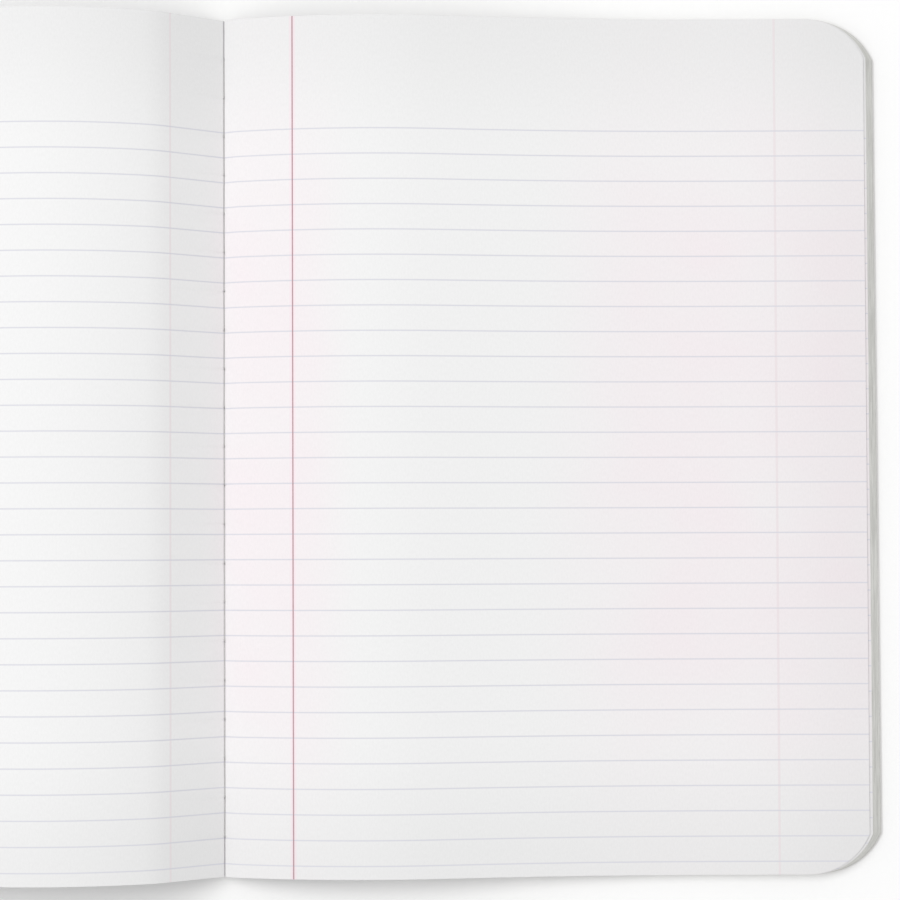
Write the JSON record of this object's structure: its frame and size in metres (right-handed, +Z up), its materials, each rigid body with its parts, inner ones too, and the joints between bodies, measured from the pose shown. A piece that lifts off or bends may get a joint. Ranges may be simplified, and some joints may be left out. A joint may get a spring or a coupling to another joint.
{
  "type": "open composition notebook",
  "caption": "Sewn composition notebook lying open at its centre spread, with arched ruled pages and hinged marbled covers joined by a cloth tape spine.",
  "frame": {"origin": "on the table under the fold, half way between head and tail, at the middle of the flat strip of spine tape", "axes": "+X towards the right-hand page's fore edge, +Y towards the head of the pages, +Z up"},
  "size_m": [0.3697, 0.2476, 0.0299],
  "materials": {
    "leaves": "matte",
    "thread": "matte",
    "tape": "satin",
    "board": "satin",
    "lining": "matte"
  },
  "bodies": {
    "leaves": {"page_block": "leaves", "sewing_thread": "thread", "spine_tape": "tape"},
    "front_cover": {"front_board": "board", "front_lining": "lining", "front_tape_lap": "tape"},
    "back_cover": {"back_board": "board", "back_lining": "lining", "back_tape_lap": "tape"}
  },
  "joints": [
    {"name": "front_cover_hinge", "type": "hinge", "parent": "leaves", "child": "front_cover", "pos_m": [-0.00212, 0, 0], "axis": [0, -1, 0], "range_deg": [0, 90]},
    {"name": "back_cover_hinge", "type": "hinge", "parent": "leaves", "child": "back_cover", "pos_m": [0.00185, 0, 0], "axis": [0, 1, 0], "range_deg": [0, 90]}
  ]
}
